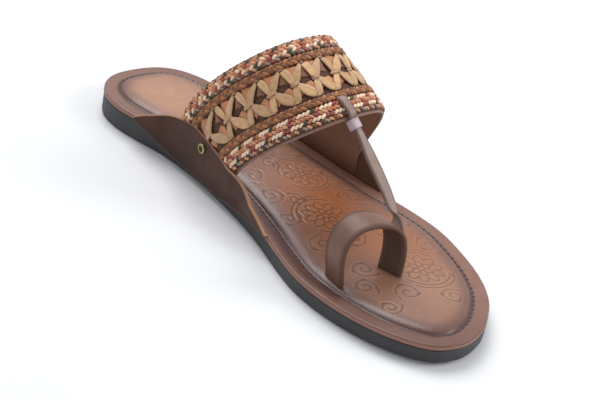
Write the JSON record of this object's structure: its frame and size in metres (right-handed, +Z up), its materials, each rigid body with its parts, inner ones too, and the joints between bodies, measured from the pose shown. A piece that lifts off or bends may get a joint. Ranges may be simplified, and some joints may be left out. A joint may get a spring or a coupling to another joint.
{
  "type": "kolhapuri sandal",
  "caption": "Left-foot flat sandal: woven instep band with smooth side flaps, toe loop joined by a thong strap, padded leather footbed on a dark rubber outsole.",
  "frame": {"origin": "centre of the object's box on the floor, under the middle of the sole", "axes": "+Z up; the toe points along -Y and the heel along +Y; the big-toe side is -X"},
  "size_m": [0.0926, 0.26, 0.0846],
  "materials": {
    "outsole_rubber": "matte near-black rubber",
    "footbed_leather": "burnished brown leather, lightly waxed",
    "upper_leather": "woven leather and raffia strands, smooth dark brown flaps",
    "loop_leather": "smooth taupe leather",
    "thong_leather": "smooth taupe leather",
    "keeper_leather": "glossy leather wrap",
    "rivet_brass": "dull brass"
  },
  "bodies": {
    "root": {"outsole": "outsole_rubber", "insole": "footbed_leather", "upper": "upper_leather", "toe_loop": "loop_leather", "thong_strap": "thong_leather", "strap_keeper": "keeper_leather", "rivet_medial": "rivet_brass", "rivet_lateral": "rivet_brass"}
  },
  "joints": []
}
